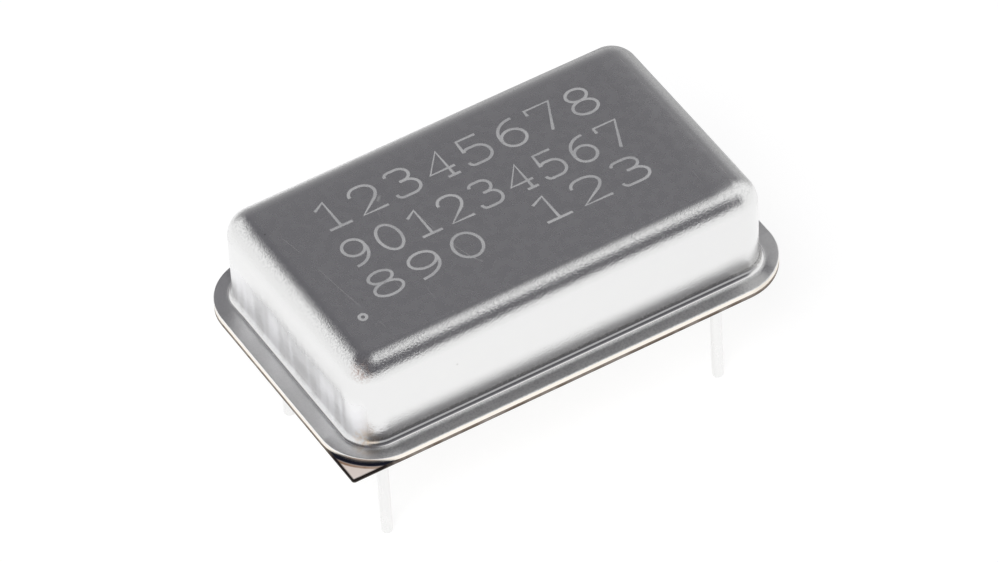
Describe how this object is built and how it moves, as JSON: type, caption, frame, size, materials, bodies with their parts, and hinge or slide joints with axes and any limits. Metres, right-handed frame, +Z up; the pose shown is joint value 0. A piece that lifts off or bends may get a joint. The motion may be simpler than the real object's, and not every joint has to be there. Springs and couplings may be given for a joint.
{
  "type": "crystal oscillator",
  "caption": "Clock oscillator in a welded, flanged metal can that stands on straight pins; one square base corner marks the first pin.",
  "frame": {"origin": "centre of the pin pattern on the seating plane, where the glass stand-off beads meet the circuit board", "axes": "+X along the can, from pins 1 and 14 to pins 7 and 8; +Y across it, from pins 1 and 7 to pins 14 and 8; +Z up out of the board"},
  "size_m": [0.0204, 0.0126, 0.0109],
  "materials": {
    "can_metal": "satin",
    "header_metal": "satin",
    "pin_metal": "satin",
    "seal_glass": "gloss",
    "braze_metal": "satin",
    "alumina": "matte",
    "printed_conductor": "satin",
    "solder": "satin",
    "quartz": "gloss",
    "electrode_silver": "polished",
    "clip_strip": "satin",
    "silver_adhesive": "matte",
    "silicon": "gloss",
    "chip_adhesive": "matte",
    "bond_gold": "polished",
    "capacitor_ceramic": "satin",
    "capacitor_plating": "satin"
  },
  "bodies": {
    "root": {"can": "can_metal", "header": "header_metal", "pin_1": "pin_metal", "pin_7": "pin_metal", "pin_8": "pin_metal", "pin_14": "pin_metal", "seal_1": "seal_glass", "seal_8": "seal_glass", "seal_14": "seal_glass", "ground_braze": "braze_metal", "substrate": "alumina", "conductor_tracks": "printed_conductor", "pin_solder_1": "solder", "pin_solder_7": "solder", "pin_solder_8": "solder", "pin_solder_14": "solder", "quartz_blank": "quartz", "electrode_top": "electrode_silver", "electrode_bottom": "electrode_silver", "clip_left": "clip_strip", "clip_right": "clip_strip", "clip_solder_left": "solder", "clip_solder_right": "solder", "adhesive_left": "silver_adhesive", "adhesive_right": "silver_adhesive", "oscillator_chip": "silicon", "chip_bond": "chip_adhesive", "bond_wires": "bond_gold", "capacitor_body": "capacitor_ceramic", "capacitor_ends": "capacitor_plating", "capacitor_solder": "solder"}
  },
  "joints": []
}
